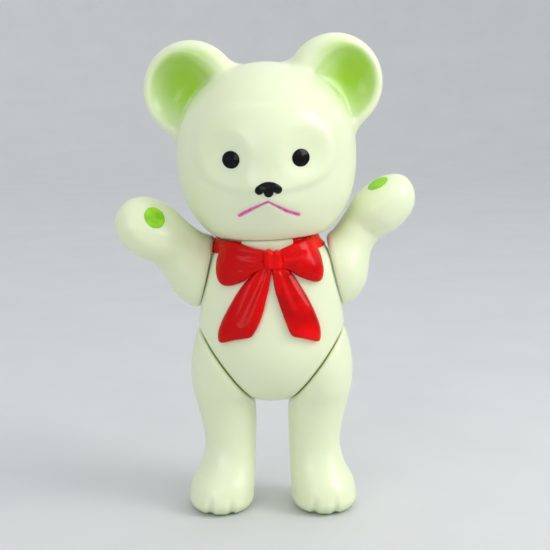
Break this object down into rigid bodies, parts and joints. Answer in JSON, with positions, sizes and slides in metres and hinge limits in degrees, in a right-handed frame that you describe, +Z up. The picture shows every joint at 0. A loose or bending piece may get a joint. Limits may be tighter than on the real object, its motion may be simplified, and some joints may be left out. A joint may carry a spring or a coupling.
{
  "type": "soft-vinyl bear figure",
  "caption": "Standing soft-vinyl bear figure with a raised bow on its chest; the head, arms and legs are hollow castings that plug into the torso and turn.",
  "frame": {"origin": "on the floor, at the centre of the base of the whole figure's box", "axes": "+Z up, -Y the way the bear faces, +X towards the bear's left arm"},
  "size_m": [0.1468, 0.0893, 0.2401],
  "materials": {
    "vinyl": "satin, pale green-cream soft vinyl",
    "bow_red": "gloss red paint",
    "black_paint": "gloss black paint",
    "mouth_pink": "satin pink paint",
    "pad_green": "satin green paint"
  },
  "bodies": {
    "torso": {"torso_shell": "vinyl", "bow_knot": "bow_red", "left_bow_loop": "bow_red", "right_bow_loop": "bow_red", "left_bow_tail": "bow_red", "right_bow_tail": "bow_red", "neck_ribbon": "bow_red"},
    "head": {"head_shell": "vinyl", "left_eye": "black_paint", "right_eye": "black_paint", "nose": "black_paint", "mouth_line": "mouth_pink"},
    "left_arm": {"left_arm": "vinyl", "left_palm_pad": "pad_green"},
    "right_arm": {"right_arm": "vinyl", "right_palm_pad": "pad_green"},
    "left_leg": {"left_leg": "vinyl"},
    "right_leg": {"right_leg": "vinyl"}
  },
  "joints": [
    {"name": "neck_turn", "type": "hinge", "parent": "torso", "child": "head", "pos_m": [0, 0.001, 0.142], "axis": [-0.0436, 0, 0.999], "continuous": true},
    {"name": "left_shoulder", "type": "hinge", "parent": "torso", "child": "left_arm", "pos_m": [0.0317, 0.005, 0.121], "axis": [0.9744, 0, 0.225], "continuous": true},
    {"name": "right_shoulder", "type": "hinge", "parent": "torso", "child": "right_arm", "pos_m": [-0.0317, 0.005, 0.121], "axis": [0.9744, 0, -0.225], "continuous": true},
    {"name": "left_hip", "type": "hinge", "parent": "torso", "child": "left_leg", "pos_m": [0.02205, 0.003, 0.07475], "axis": [-0.809, 0, 0.5878], "range_deg": [-90, 100]},
    {"name": "right_hip", "type": "hinge", "parent": "torso", "child": "right_leg", "pos_m": [-0.02205, 0.003, 0.07475], "axis": [-0.809, 0, -0.5878], "range_deg": [-90, 100]}
  ]
}
